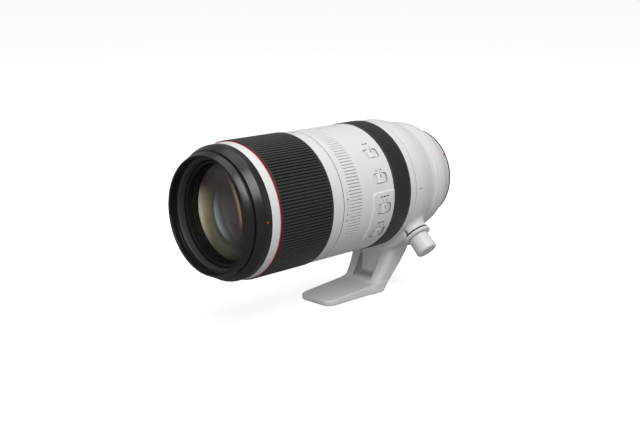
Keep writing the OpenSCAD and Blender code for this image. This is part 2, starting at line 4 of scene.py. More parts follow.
import bmesh
import bpy
import numpy as np
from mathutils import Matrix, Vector


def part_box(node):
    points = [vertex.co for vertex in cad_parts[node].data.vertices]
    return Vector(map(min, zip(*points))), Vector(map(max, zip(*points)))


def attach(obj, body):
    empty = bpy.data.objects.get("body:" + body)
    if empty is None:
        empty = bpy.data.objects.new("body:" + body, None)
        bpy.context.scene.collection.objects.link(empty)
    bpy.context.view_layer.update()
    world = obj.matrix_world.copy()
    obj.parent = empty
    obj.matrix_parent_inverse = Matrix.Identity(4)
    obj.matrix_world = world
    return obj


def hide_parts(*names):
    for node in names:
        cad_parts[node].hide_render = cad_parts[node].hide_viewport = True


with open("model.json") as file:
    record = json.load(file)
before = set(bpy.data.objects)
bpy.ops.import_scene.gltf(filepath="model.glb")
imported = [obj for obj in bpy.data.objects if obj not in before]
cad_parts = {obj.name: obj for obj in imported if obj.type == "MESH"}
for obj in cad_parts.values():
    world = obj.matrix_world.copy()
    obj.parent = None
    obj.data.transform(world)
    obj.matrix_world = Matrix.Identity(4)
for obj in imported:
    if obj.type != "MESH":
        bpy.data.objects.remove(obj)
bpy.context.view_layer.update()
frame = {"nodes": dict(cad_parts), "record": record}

# All lengths below are in millimetres in the dictionaries, and in metres in the meshes.
mm = 0.001
nodes = frame["nodes"]


def boxOf(node):
    # Lowest and highest corner of a CAD node, in millimetres.
    low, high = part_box(node)
    return np.array(low) / mm, np.array(high) / mm


gripLow, gripHigh = boxOf("zoom_grip")
axisZ = (gripLow[2] + gripHigh[2]) / 2  # height of the optical axis
print("frame loaded, optical axis at", round(axisZ, 2), "mm")


def placed(name, data):
    # A new object in the scene, for a mesh, a light, a curve or the camera.
    piece = bpy.data.objects.new(name, data)
    bpy.context.scene.collection.objects.link(piece)
    return piece


def meshObject(name, points, faces, smooth=True, weld=0.0):
    # A mesh object from vertex rows in millimetres and rows of quads or triangles.
    mesh = bpy.data.meshes.new(name)
    rows = faces.tolist() if hasattr(faces, "tolist") else faces
    mesh.from_pydata((np.asarray(points) * mm).tolist(), [], rows)
    if weld:
        work = bmesh.new()
        work.from_mesh(mesh)
        bmesh.ops.remove_doubles(work, verts=work.verts, dist=weld * mm)
        bmesh.ops.dissolve_degenerate(work, edges=work.edges, dist=weld * mm)
        work.to_mesh(mesh)
        work.free()
    mesh.validate()
    mesh.polygons.foreach_set("use_smooth", np.full(len(mesh.polygons), smooth))
    mesh.update()
    return placed(name, mesh)


def gridFaces(rows, columns, wrapRows, wrapColumns):
    # Quads between neighbouring points of a rows x columns grid.
    index = np.arange(rows * columns).reshape(rows, columns)
    if wrapRows:
        index = np.vstack([index, index[:1]])
    if wrapColumns:
        index = np.hstack([index, index[:, :1]])
    corners = [index[:-1, :-1], index[1:, :-1], index[1:, 1:], index[:-1, 1:]]
    return np.stack(corners, -1).reshape(-1, 4)


def borderOf(rows, columns):
    # Indices of the outermost points of a rows x columns grid, in order round it.
    index = np.arange(rows * columns).reshape(rows, columns)
    return np.concatenate([index[:-1, 0], index[-1, :-1], index[:0:-1, -1], index[0, :0:-1]])


def outward(points, faces):
    # Turns the faces round when the volume they enclose comes out negative.
    p = points[faces]
    volume = np.einsum("ij,ij->i", p[:, 0], np.cross(p[:, 1], p[:, 2])).sum()
    volume += np.einsum("ij,ij->i", p[:, 0], np.cross(p[:, 2], p[:, 3])).sum()
    return faces if volume > 0 else faces[:, ::-1]


def rounded(corners, radii, steps=5):
    # A closed outline whose corners are replaced by arcs of the given radii.
    corners = np.array(corners, float)
    radii = np.broadcast_to(radii, len(corners))
    out = []
    for i, c in enumerate(corners):
        before, after = corners[i - 1] - c, corners[(i + 1) % len(corners)] - c
        la, lb = np.linalg.norm(before), np.linalg.norm(after)
        a, b = before / la, after / lb
        half = math.acos(np.clip(a @ b, -1, 1)) / 2
        back = min(radii[i] / max(math.tan(half), 1e-6), 0.48 * la, 0.48 * lb)
        if radii[i] <= 0 or back < 1e-4 or half > 1.56:
            out.append(c[None])
            continue
        t = np.linspace(0, 1, steps + 1)[:, None]
        start, end = c + a * back, c + b * back
        out.append((1 - t) ** 2 * start + 2 * t * (1 - t) * c + t**2 * end)
    return np.vstack(out)


def divided(outline, longest):
    # The closed outline with extra points, so that no step is longer than longest.
    out = []
    for a, b in zip(outline, np.roll(outline, -1, axis=0)):
        n = max(1, int(np.ceil(np.linalg.norm(b - a) / longest)))
        out.append(a + (b - a) * np.linspace(0, 1, n, endpoint=False)[:, None])
    return np.vstack(out)


class Axis:
    # A turning axis: a point, its direction, and the direction that angles count from.

    def __init__(self, point, along, side):
        self.point = np.array(point, float)
        self.along = np.array(along, float)
        self.side = np.array(side, float)
        self.up = np.cross(self.along, self.side)

    def place(self, angle, r, s):
        # Points at an angle about the axis, at radius r and s along it.
        radial = np.cos(angle)[..., None] * self.side + np.sin(angle)[..., None] * self.up
        return self.point + r[..., None] * radial + s[..., None] * self.along


lensAxis = Axis((0, 0, axisZ), (0, 1, 0), (1, 0, 0))
# Along +Y with side = +X would count angles downwards; here they count upwards from +X.
lensAxis.up = np.array((0, 0, 1.0))


def turned(name, outline, axis=lensAxis, angles=256, shape=None, weld=0.0):
    # A closed outline of (radius, station) carried round an axis.
    # shape(angle, r, s) may return a changed radius for every grid point.
    if np.isscalar(angles):
        angles = np.linspace(0, 2 * np.pi, angles, endpoint=False)
    a, r = np.meshgrid(angles, outline[:, 0], indexing="ij")
    s = np.broadcast_to(outline[:, 1], a.shape)
    if shape is not None:
        r = shape(a, r, s)
    points = axis.place(a, r, s).reshape(-1, 3)
    faces = outward(points, gridFaces(len(angles), len(outline), True, True))
    return meshObject(name, points, faces, weld=weld)


def roundedRing(name, corners, radii, steps, longest, angles=360):
    # A ring turned from an outline with rounded corners.
    return turned(name, divided(rounded(corners, radii, steps), longest), angles=angles)


def smoothStep(low, high, x):
    # 0 up to low, 1 from high on, and three times t squared minus twice t cubed in between.
    t = np.clip((x - low) / (high - low), 0, 1)
    return t * t * (3 - 2 * t)


def roundBoxDistance(u, v, halfU, halfV, radius):
    # Signed distance to a rectangle with round corners.
    qu = np.abs(u) - halfU + radius
    qv = np.abs(v) - halfV + radius
    outside = np.hypot(np.maximum(qu, 0), np.maximum(qv, 0))
    return outside + np.minimum(np.maximum(qu, qv), 0) - radius


def newMaterial(name, **sockets):
    # A Principled material; constants go straight to its sockets.
    material = bpy.data.materials.new(name)
    material.use_nodes = True
    shader = material.node_tree.nodes["Principled BSDF"]
    for key, value in sockets.items():
        shader.inputs[key.replace("_", " ")].default_value = value
    return material, material.node_tree, shader


def addNode(tree, kind, inputs, **settings):
    # A shader node; each input is a plain value or the output of another node.
    node = tree.nodes.new("ShaderNode" + kind)
    for key, value in settings.items():
        setattr(node, key, value)
    for key, value in inputs.items():
        if isinstance(value, bpy.types.NodeSocket):
            tree.links.new(value, node.inputs[key])
        else:
            node.inputs[key].default_value = value
    return node


def noiseNode(tree, scale, detail, roughness=0.5):
    # Noise on object coordinates; scale is in cells per metre.
    coords = addNode(tree, "TexCoord", {})
    return addNode(tree, "TexNoise", {
        "Scale": scale, "Detail": detail, "Roughness": roughness, "Vector": coords.outputs["Object"],
    })


def rampNode(tree, source, stops):
    # A ramp through (position, grey level or colour) stops.
    ramp = addNode(tree, "ValToRGB", {"Fac": source})
    elements = ramp.color_ramp.elements
    while len(elements) < len(stops):
        elements.new(0.5)
    for element, (position, value) in zip(elements, stops):
        element.position = position
        element.color = (value, value, value, 1) if np.isscalar(value) else (*value, 1)
    return ramp


def axisDistance(tree, coords, x=0.0, z=0.0):
    # Distance in millimetres from a line along Y that runs x beside and z above the optical axis.
    place = addNode(tree, "Mapping", {
        "Location": (x * mm, 0, (axisZ + z) * mm), "Scale": (mm, 1e6, mm), "Vector": coords.outputs["Object"],
    }, vector_type="TEXTURE")
    return addNode(tree, "VectorMath", {0: place.outputs["Vector"]}, operation="LENGTH").outputs["Value"]


def product(tree, first, second):
    # The product of two values, each a number or another node's output.
    return addNode(tree, "Math", {0: first, 1: second}, operation="MULTIPLY").outputs["Value"]


def grainy(name, dark, light, rough, grain, bump, sockets, blotch=14.0, grooveShade=None):
    # A finish whose colour drifts slowly between two tones, with fine grain in gloss and bump.
    # grooveShade = (floor radius, rim radius, tone) darkens what lies below the rim radius: painted shade on
    # the floors of the grooves.
    material, tree, shader = newMaterial(name, **sockets)
    drift = noiseNode(tree, blotch, 4.0, 0.6)
    tone = rampNode(tree, drift.outputs["Fac"], [(0.3, dark), (0.7, light)])
    colour = tone.outputs["Color"]
    # Painted shade: below the rim radius the colour blends towards the dark tone of the groove floors.
    if grooveShade:
        floor, rim, shade = grooveShade
        height = addNode(tree, "MapRange", {
            "From Min": floor, "From Max": rim, "Value": axisDistance(tree, addNode(tree, "TexCoord", {})),
        })
        blend = addNode(tree, "Mix", {
            "A": (*shade, 1), "B": colour, "Factor": height.outputs["Result"],
        }, data_type="RGBA")
        colour = blend.outputs["Result"]
    tree.links.new(colour, shader.inputs["Base Color"])
    fine = noiseNode(tree, grain, 2.0)
    gloss = rampNode(tree, fine.outputs["Fac"], [(0.3, rough[0]), (0.7, rough[1])])
    tree.links.new(gloss.outputs["Color"], shader.inputs["Roughness"])
    relief = addNode(tree, "Bump", {
        "Strength": bump[0], "Distance": bump[1] * mm, "Height": fine.outputs["Fac"],
    })
    tree.links.new(relief.outputs["Normal"], shader.inputs["Normal"])
    return material


def whitePaint(name, tone, grooveShade=None):
    # The lens's satin white: the tone drifts by a few hundredths under a thin clear coat.
    return grainy(
        name, tuple(0.965 * t for t in tone), tone, (0.36, 0.50), 2600.0, (0.25, 0.03),
        {"Specular_IOR_Level": 0.45, "Coat_Weight": 0.08, "Coat_Roughness": 0.25}, grooveShade=grooveShade,
    )


# name: tone, and for grooved paint the painted shade of its groove floors (floor radius, rim radius, tone of
# the floor)
paints = {
    "white_paint": ((0.77, 0.77, 0.765), None),
    "casting_paint": ((0.76, 0.76, 0.755), None),
    "switch_paint": ((0.77, 0.77, 0.765), None),
    "grooved_paint": ((0.77, 0.77, 0.765), (45.42, 45.9, (0.34, 0.34, 0.34))),
    "collar_paint": ((0.76, 0.76, 0.755), None),
    "tube_white": ((0.77, 0.77, 0.765), None),
}
# name: dark tone, light tone, roughness range, grain scale, bump (strength, depth), other sockets,
# grooveShade (painted shade of the groove floors)
coatings = {
    "zoom_rubber": ((0.012, 0.012, 0.013), (0.019, 0.019, 0.020), (0.34, 0.46), 3200, (0.35, 0.04),
        {"Specular_IOR_Level": 0.7}, (45.8, 46.4, (0.002, 0.002, 0.002))),
    "focus_rubber": ((0.014, 0.014, 0.015), (0.022, 0.022, 0.023), (0.34, 0.46), 3200, (0.35, 0.04),
        {"Specular_IOR_Level": 0.72}, (46.0, 46.4, (0.005, 0.005, 0.005))),
    "switch_plastic": ((0.74, 0.74, 0.73), (0.78, 0.78, 0.77), (0.42, 0.55), 1800, (0.2, 0.02),
        {"Specular_IOR_Level": 0.4}, None),
    "grip_rubber": ((0.013, 0.013, 0.0135), (0.021, 0.021, 0.022), (0.46, 0.60), 3200, (0.4, 0.04),
        {"Specular_IOR_Level": 0.42}, None),
    "seal_rubber": ((0.012, 0.012, 0.012), (0.02, 0.02, 0.02), (0.6, 0.75), 2000, (0.3, 0.03),
        {"Specular_IOR_Level": 0.4}, None),
    "front_black": ((0.006, 0.006, 0.0065), (0.010, 0.010, 0.0105), (0.26, 0.36), 2400, (0.18, 0.02),
        {"Specular_IOR_Level": 0.5}, None),
    # retainer_lit_black: a lighter copy of the front black, painted light for the lit band on the retainer's
    # wall.
    "retainer_lit_black": ((0.045, 0.045, 0.046), (0.06, 0.06, 0.061), (0.45, 0.6), 2400, (0.2, 0.02),
        {"Specular_IOR_Level": 0.5}, None),
    "black_anodised": ((0.008, 0.008, 0.0085), (0.012, 0.012, 0.0125), (0.45, 0.6), 2400, (0.2, 0.02),
        {"Specular_IOR_Level": 0.35}, None),
    "black_plastic": ((0.012, 0.012, 0.013), (0.02, 0.02, 0.021), (0.45, 0.62), 1800, (0.3, 0.03),
        {"Specular_IOR_Level": 0.4}, None),
    "trim_red": ((0.50, 0.006, 0.022), (0.60, 0.010, 0.030), (0.22, 0.32), 1500, (0.1, 0.01),
        {"Coat_Weight": 0.5, "Coat_Roughness": 0.12}, None),
    "red_enamel": ((0.62, 0.010, 0.016), (0.70, 0.016, 0.024), (0.25, 0.35), 1500, (0.1, 0.01),
        {"Coat_Weight": 0.4, "Coat_Roughness": 0.15}, None),
    "bare_aluminium": ((0.60, 0.60, 0.61), (0.72, 0.72, 0.73), (0.25, 0.40), 1200, (0.15, 0.01),
        {"Metallic": 1.0}, None),
    "mount_steel": ((0.55, 0.55, 0.55), (0.66, 0.66, 0.65), (0.18, 0.32), 1600, (0.12, 0.01),
        {"Metallic": 1.0}, None),
    "screw_steel": ((0.42, 0.42, 0.42), (0.52, 0.52, 0.52), (0.28, 0.42), 1600, (0.15, 0.01),
        {"Metallic": 1.0}, None),
    "follower_brass": ((0.62, 0.44, 0.18), (0.74, 0.55, 0.25), (0.25, 0.4), 1500, (0.12, 0.01),
        {"Metallic": 1.0}, None),
    "gold_contact": ((0.80, 0.56, 0.20), (0.90, 0.66, 0.28), (0.15, 0.28), 1500, (0.1, 0.01),
        {"Metallic": 1.0}, None),
    "felt_band": ((0.03, 0.03, 0.032), (0.06, 0.06, 0.062), (0.85, 0.95), 2600, (0.8, 0.08),
        {"Sheen_Weight": 0.3}, None),
    "motor_ceramic": ((0.16, 0.16, 0.17), (0.24, 0.24, 0.25), (0.4, 0.55), 1800, (0.2, 0.02), {}, None),
    "board_green": ((0.01, 0.09, 0.035), (0.015, 0.13, 0.05), (0.3, 0.45), 1200, (0.15, 0.02), {}, None),
    "print_dark": ((0.012, 0.012, 0.013), (0.022, 0.022, 0.023), (0.5, 0.6), 1800, (0.1, 0.01), {}, None),
}
finishes = {name: whitePaint(name, tone, grooveShade) for name, (tone, grooveShade) in paints.items()}
for name, (dark, light, rough, grain, bump, sockets, grooveShade) in coatings.items():
    finishes[name] = grainy(name, dark, light, rough, grain, bump, sockets, grooveShade=grooveShade)


def glassMaterial(name, clearTint, gloss, zones):
    # Clear glass with a faint gloss, and tinted patches of painted reflection in the coating's colours, some
    # with a painted glow.
    # Each zone is (share, tint, glow, masks), and each mask is a round edge in millimetres about the
    # optical axis: (centre x, centre z, radius, softness, inside). The masks of a zone multiply.
    material = bpy.data.materials.new(name)
    material.use_nodes = True
    tree = material.node_tree
    tree.nodes.remove(tree.nodes["Principled BSDF"])
    clear = addNode(tree, "BsdfTransparent", {"Color": (*clearTint, 1)})
    coords = addNode(tree, "TexCoord", {})
    dust = noiseNode(tree, 90.0, 3.0)
    veil = rampNode(tree, dust.outputs["Fac"], [(0.3, gloss * 0.85), (0.7, gloss)])
    shine = addNode(tree, "BsdfGlossy", {"Color": (0.85, 0.84, 0.95, 1), "Roughness": 0.08})
    shader = addNode(tree, "MixShader", {
        "Fac": veil.outputs["Color"], 1: clear.outputs["BSDF"], 2: shine.outputs["BSDF"],
    }).outputs["Shader"]
    for share, tint, glow, masks in zones:
        amount = None
        for x, z, radius, soft, inside in masks:
            mask = addNode(tree, "MapRange", {
                "From Min": radius - soft, "From Max": radius + soft,
                "To Min": float(inside), "To Max": float(not inside),
                "Value": axisDistance(tree, coords, x, z),
            }, interpolation_type="SMOOTHSTEP").outputs["Result"]
            amount = mask if amount is None else product(tree, amount, mask)
        # A patch of painted reflection; its emission is a painted glow.
        reflectionPatch = addNode(tree, "BsdfPrincipled", {
            "Base Color": (*tint, 1), "Roughness": 0.6,
            "Emission Color": (*tint, 1), "Emission Strength": glow,
        })
        shader = addNode(tree, "MixShader", {
            "Fac": product(tree, amount, share), 1: shader, 2: reflectionPatch.outputs["BSDF"],
        }).outputs["Shader"]
    tree.links.new(shader, tree.nodes["Material Output"].inputs["Surface"])
    return material


# Edges that several zones of painted reflection share: (centre x, centre z, radius, softness, inside).
rimEdge = (-46.3, -11.8, 57.5, 1.5, True)
crispRim = (-46.3, -11.8, 57.5, 1.0, True)
innerDisc = (4.5, -0.2, 21.6, 1.0, True)
softDisc = (4.5, -0.2, 21.6, 1.5, True)
# Painted reflections on the second glass: crescents in the coating's colours where the studio's light would
# reflect; glow makes some of them shine.
reflectionZones = [  # share, tint, glow, masks
    (0.30, (0.30, 0.25, 0.24), 0.0, [(-8, 22, 30, 14, True), rimEdge]),
    (0.95, (0.86, 0.88, 0.62), 0.36, [(8.2, -2.1, 36.0, 7.0, False), (-33, -10, 15, 13, True)]),
    (0.35, (0.50, 0.48, 0.34), 0.03, [(4, 2, 25, 3.5, False), (-14, -22, 16, 13, True)]),
    (0.70, (0.52, 0.68, 0.80), 0.22, [innerDisc, (10, 3.5, 24, 4.5, False), (-16, -9, 13, 10, True)]),
    (0.13, (0.56, 0.49, 0.44), 0.02, [softDisc, (-2, -10, 15, 10, True), rimEdge]),
    (0.75, (0.84, 0.62, 0.48), 0.16, [crispRim, (-46.3, -11.8, 55.6, 2.0, False), (9, 6, 12, 9, True)]),
]
finishes["coated_glass"] = glassMaterial("coated_glass", (0.80, 0.80, 0.77), 0.04, [])
finishes["front_coat"] = glassMaterial("front_coat", (0.93, 0.92, 0.90), 0.03, [])
finishes["inner_reflections"] = glassMaterial("inner_reflections", (0.45, 0.42, 0.38), 0.03, reflectionZones)


def finish(piece, slotName, body, *replaced, material=None):
    # Gives a piece its material, which is the slot's finish unless another material is named, and its body,
    # and hides the nodes it stands for.
    piece.data.materials.clear()
    piece.data.materials.append(finishes[material or slotName])
    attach(piece, body)
    if replaced:
        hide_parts(*replaced)
    return piece


def paintedShadeByAttribute(material, attribute, shade):
    # Darkens a paint with painted shade where the mesh's own attribute marks it.
    tree = material.node_tree
    shader = tree.nodes["Principled BSDF"]
    old = shader.inputs["Base Color"].links[0].from_socket
    mark = addNode(tree, "Attribute", {}, attribute_name=attribute)
    blend = addNode(tree, "Mix", {
        "A": old, "B": (*shade, 1), "Factor": mark.outputs["Fac"],
    }, data_type="RGBA")
    tree.links.new(blend.outputs["Result"], shader.inputs["Base Color"])


# Painted shade along the edges of the switch pockets.
paintedShadeByAttribute(finishes["switch_paint"], "line", (0.20, 0.20, 0.20))
# Painted shade on the walls and along the foot of the stem's pocket.
paintedShadeByAttribute(finishes["casting_paint"], "hollow", (0.34, 0.34, 0.34))

slotOf = {row["node"]: row["material_slot"] for row in frame["record"]["subparts"]}
for nodeName, nodeObject in nodes.items():
    nodeObject.data.materials.clear()
    nodeObject.data.materials.append(finishes[slotOf[nodeName]])
print("materials made:", len(finishes))


def ribbedBand(name, node, ribs, samples, groove, inner):
    # A rubber sleeve with lengthwise ribs: the radius drops by the groove's depth wherever the
    # distance round the sleeve from the middle of a groove is small, fading out near both ends.
    low, high = boxOf(node)
    r = (high[0] - low[0]) / 2
    y0, y1 = low[1], high[1]
    outline = rounded([(inner, y0), (r, y0), (r, y1), (inner, y1)], (0, 0.35, 0.35, 0), 3)
    outline = divided(outline, groove["step"])
    pitch = 2 * np.pi * r / ribs
    angles = np.add.outer(np.arange(ribs), np.array(samples)).ravel() * 2 * np.pi / ribs

    def carve(a, radius, s):  # the grooves' share of the radius, where the outer face is
        phase = a * ribs / (2 * np.pi) % 1.0
        across = np.abs(phase - 0.5) * pitch
        walls = 1 - smoothStep(groove["floor"], groove["mouth"], across)
        inside = smoothStep(y0 + groove["rim"], y0 + groove["rim"] + groove["fade"], s)
        inside = inside * (1 - smoothStep(y1 - groove["rim"] - groove["fade"], y1 - groove["rim"], s))
        outer = radius > inner + 0.4
        crown = groove["crown"] * (np.clip(across / (pitch / 2), 0, 1) ** 2 - 1)
        return radius + np.where(outer, inside * (crown - groove["depth"] * walls), 0)

    return turned(name, outline, angles=angles, shape=carve)


zoomGripLook = dict(depth=1.05, floor=0.24, mouth=0.50, rim=0.35, fade=0.7, crown=0.05, step=1.6)
zoomGrip = ribbedBand(
    "zoomGrip", "zoom_grip", 132, (0.0, 0.2, 0.27, 0.33, 0.39, 0.5, 0.61, 0.67, 0.73, 0.8),
    zoomGripLook, 44.9,
)
finish(zoomGrip, "grip_rubber", "zoom_ring", "zoom_grip", material="zoom_rubber")

focusGripLook = dict(depth=0.5, floor=0.12, mouth=0.34, rim=0.3, fade=0.4, crown=0.03, step=1.4)
focusGrip = ribbedBand(
    "focusGrip", "focus_grip", 212, (0.0, 0.22, 0.32, 0.42, 0.5, 0.58, 0.68, 0.78),
    focusGripLook, 45.0,
)
finish(focusGrip, "grip_rubber", "focus_ring", "focus_grip", material="focus_rubber")
print("grips made")

torqueLook = dict(ribs=127, depth=0.6, floor=0.14, mouth=0.34, start=5.1, end=17.4, fade=0.5, edge=0.25)
low, high = boxOf("torque_ring")
torqueY0, torqueY1 = low[1], high[1]
bodyR = (high[0] - low[0]) / 2
torquePitch = 2 * np.pi * bodyR / torqueLook["ribs"]


def torqueGrooves(a, r, s):
    # Short lengthwise grooves behind a plain band: distance from each groove's centre line sets depth.
    across = np.abs(a * torqueLook["ribs"] / (2 * np.pi) % 1.0 - 0.5) * torquePitch
    walls = 1 - smoothStep(torqueLook["floor"], torqueLook["mouth"], across)
    first = torqueY0 + torqueLook["start"]
    last = torqueY0 + torqueLook["end"]
    inside = smoothStep(first, first + torqueLook["fade"], s)
    inside = inside * (1 - smoothStep(last - torqueLook["fade"], last, s))
    return r - np.where(r > bodyR - 0.05, torqueLook["depth"] * walls * inside, 0)


torqueSamples = np.array((0.0, 0.25, 0.36, 0.41, 0.46, 0.5, 0.54, 0.59, 0.64, 0.75))
torqueAngles = np.add.outer(np.arange(torqueLook["ribs"]), torqueSamples).ravel()
torqueAngles = torqueAngles * 2 * np.pi / torqueLook["ribs"]
torqueOutline = rounded(
    [(bodyR - 2.5, torqueY0), (bodyR, torqueY0), (bodyR, torqueY1 + 0.1), (bodyR - 2.5, torqueY1 + 0.1)],
    (0, torqueLook["edge"], 0.06, 0), 3,
)
torqueRing = turned(
    "torqueRing", divided(torqueOutline, 1.0), angles=torqueAngles, shape=torqueGrooves
)
finish(torqueRing, "white_paint", "torque_ring", "torque_ring", material="grooved_paint")

low, high = boxOf("zoom_ring")
gripEnd = gripHigh[1]
zoomBand = roundedRing(
    "zoomBand", [(bodyR - 2.5, gripEnd), (bodyR, gripEnd), (bodyR, high[1]), (bodyR - 2.5, high[1])],
    (0, 0.15, 0.3, 0), 3, 2.0,
)
zoomSleeve = turned(
    "zoomSleeve",
    np.array([(bodyR - 2.5, low[1]), (44.85, low[1]), (44.85, gripEnd), (bodyR - 2.5, gripEnd)]),
    angles=180,
)
finish(zoomBand, "white_paint", "zoom_ring", "zoom_ring")
finish(zoomSleeve, "black_anodised", "zoom_ring")
print("torque ring and zoom band made")

low, high = boxOf("switch_barrel")
switchY0, switchY1 = low[1], high[1]


def centreOf(node):
    # Angle in degrees above +X and station of a node's centre.
    a, b = boxOf(node)
    c = (a + b) / 2
    return math.degrees(math.atan2(c[2] - axisZ, c[0])), c[1]


panelLook = dict(
    top=6.7, front=10.2, tall=60.0, rise=0.8, corner=3.2, edge=0.5, fadeFrom=-34.0, fadeTo=-47.0,
)
switchPlaces = {
    "limit_switch": dict(rise=0.0),
    "focus_switch": dict(rise=0.0),
    "stabiliser_switch": dict(rise=panelLook["rise"]),
    "mode_switch": dict(rise=panelLook["rise"], corner=0.95),  # squarer, because its slider travels further
}
for nodeName, place in switchPlaces.items():
    place["angle"], place["y"] = centreOf(nodeName)
recessLook = dict(length=13.2, width=7.0, depth=0.8, corner=2.0, wall=0.12)


def recessDistance(place, arc, s):
    # Signed distance to a switch's recess, for points at arc length arc and station s.
    return roundBoxDistance(
        s - place["y"], arc - math.radians(place["angle"]) * bodyR,
        recessLook["length"] / 2, recessLook["width"] / 2, place.get("corner", recessLook["corner"]),
    )


def fineLines(low, high, spans, fine, coarse):
    # Grid lines from low to high, fine inside the spans and coarse elsewhere.
    lines = [low]
    while lines[-1] < high - 1e-6:
        inside = any(a - coarse < lines[-1] < b for a, b in spans)
        lines.append(lines[-1] + (fine if inside else coarse))
    return np.array(lines[:-1])


def switchSurface(a, r, s):
    # The barrel's radius plus the panel's rise, minus a pocket with round corners at each switch.
    degrees = (np.degrees(a) + 180) % 360 - 180
    arc = np.radians(degrees) * bodyR
    top = math.radians(panelLook["top"]) * bodyR
    front = switchY0 + panelLook["front"]
    tall, deep = panelLook["tall"], switchY1 - front + 10
    panel = roundBoxDistance(
        s - front - deep / 2, arc - top + tall / 2, deep / 2, tall / 2, panelLook["corner"]
    )
    fade = smoothStep(panelLook["fadeTo"], panelLook["fadeFrom"], degrees)
    rise = panelLook["rise"] * fade * (1 - smoothStep(-panelLook["edge"], panelLook["edge"] * 0.2, panel))
    near = 1 - smoothStep(switchY1 - 0.5, switchY1, s)
    skin = r > bodyR - 0.6
    out = r + np.where(skin, rise * near, 0)
    for place in switchPlaces.values():
        pocket = 1 - smoothStep(-recessLook["wall"], 0.02, recessDistance(place, arc, s))
        out = out - np.where(skin, recessLook["depth"] * pocket, 0)
    return out


lineAngles = np.radians(np.concatenate([
    fineLines(-50, 8, [(-37.5, -26), (-14, -2.5)], 0.22, 0.45),
    fineLines(8, 52, [(12.5, 24), (35.5, 47.5)], 0.22, 0.9),
    fineLines(52, 310, [], 3.0, 3.0),
]))
spanY = [(switchY0 + 9.6, switchY0 + 12.5), (switchY0 + 13.0, switchY0 + 28.2)]
lineY = np.append(fineLines(switchY0 + 0.25, switchY1 - 0.25, spanY, 0.22, 1.0), switchY1 - 0.25)
outer = np.stack([np.full(len(lineY), bodyR), lineY], -1)
switchOutline = np.vstack([
    [(bodyR - 2.6, switchY0), (bodyR - 0.25, switchY0), (bodyR - 0.07, switchY0 + 0.07)],
    outer,
    [(bodyR - 0.07, switchY1 - 0.07), (bodyR - 0.25, switchY1), (bodyR - 2.6, switchY1)],
])
switchBarrel = turned("switchBarrel", switchOutline, angles=lineAngles, shape=switchSurface)
finish(switchBarrel, "white_paint", "barrel", "switch_barrel", material="switch_paint")

edgeShadeLook = dict(dark=0.12, clear=0.34)  # half widths of the full line and of its fading edge
# Attribute "line": painted shade, 1 in a narrow band along each pocket's edge, where the pocket's wall casts
# shadow.
gridAngle, gridY = np.meshgrid(lineAngles, switchOutline[:, 1], indexing="ij")
gridArc = np.radians((np.degrees(gridAngle) + 180) % 360 - 180) * bodyR
line = np.zeros(gridAngle.shape)
for place in switchPlaces.values():
    away = np.abs(recessDistance(place, gridArc, gridY) + 0.05)
    line = np.maximum(line, 1 - smoothStep(edgeShadeLook["dark"], edgeShadeLook["clear"], away))
switchBarrel.data.attributes.new("line", "FLOAT", "POINT").data.foreach_set("value", line.ravel())


sliderLook = dict(
    length=6.6, width=6.7, corner=0.8, crest=2.4, scoop=0.55, proud=0.7, deep=0.6, bevel=0.45, drop=0.35,
)


def slider(name, node):
    # A moulded slider: a height field over a rectangle, with a crest across its middle,
    # a scoop on both sides of it, and rounded edges.
    angle, y = centreOf(node)
    u = np.concatenate([[-1, -1], np.linspace(-1, 1, 61), [1, 1]])
    v = np.concatenate([[-1, -1], np.linspace(-1, 1, 41), [1, 1]])
    gu, gv = np.meshgrid(u, v, indexing="ij")
    s = gu * sliderLook["length"] / 2
    t = gv * sliderLook["width"] / 2
    edge = -roundBoxDistance(s, t, sliderLook["length"] / 2, sliderLook["width"] / 2, sliderLook["corner"])
    crest = 1 - smoothStep(sliderLook["crest"] * 0.28, sliderLook["crest"] * 0.62, np.abs(s))
    height = sliderLook["proud"] - sliderLook["scoop"] * (1 - crest)
    height = height - sliderLook["drop"] * (1 - smoothStep(0, sliderLook["bevel"], edge)) ** 2
    rim = (np.arange(len(u))[:, None] < 1) | (np.arange(len(u))[:, None] > len(u) - 2)
    rim = rim | (np.arange(len(v))[None] < 1) | (np.arange(len(v))[None] > len(v) - 2)
    height = np.where(rim, -sliderLook["deep"], height)
    a = math.radians(angle)
    radial = np.array((math.cos(a), 0, math.sin(a)))
    tangent = np.array((-math.sin(a), 0, math.cos(a)))
    base = lensAxis.point + radial * (bodyR + switchPlaces[node]["rise"])
    sag = bodyR - np.sqrt(bodyR**2 - t**2)
    points = base + height[..., None] * radial + t[..., None] * tangent
    points = points - (sag * ~rim)[..., None] * radial + np.stack([0 * s, s + y, 0 * s], -1)
    points = points.reshape(-1, 3)
    faces = gridFaces(len(u), len(v), False, False)
    floor = len(points)
    ring = borderOf(len(u), len(v))
    middle = points[ring].mean(0)
    points = np.vstack([points, middle])
    fan = np.stack([ring, np.roll(ring, -1), np.full(len(ring), floor), np.full(len(ring), floor)], -1)
    faces = np.vstack([faces, fan[:, [1, 0, 2, 3]]])
    faces = outward(points, faces)
    piece = meshObject(name, points, [list(dict.fromkeys(f)) for f in faces.tolist()], weld=0.001)
    return finish(piece, "switch_plastic", node, node)


for sliderName, node in (
    ("limitSlider", "limit_switch"), ("focusSlider", "focus_switch"),
    ("stabiliserSlider", "stabiliser_switch"), ("modeSlider", "mode_switch"),
):
    slider(sliderName, node)
print("switch barrel and sliders made")

collarTop = boxOf("seat_barrel")[0][1] + 6.6  # station of the collar's front face
inkLook = dict(height=0.012, depth=0.05)  # a mark's rise above the paint, and how far it is sunk


def wrapped(flat, radius, angle, y, turn=0.0):
    # Lays flat (u, v, height) points on the barrel: v goes up round it, u goes back along it.
    # turn rotates the drawing first.
    c, s = math.cos(math.radians(turn)), math.sin(math.radians(turn))
    u = flat[:, 0] * c - flat[:, 1] * s
    v = flat[:, 0] * s + flat[:, 1] * c
    return lensAxis.place(math.radians(angle) + v / radius, radius + flat[:, 2], y + u)


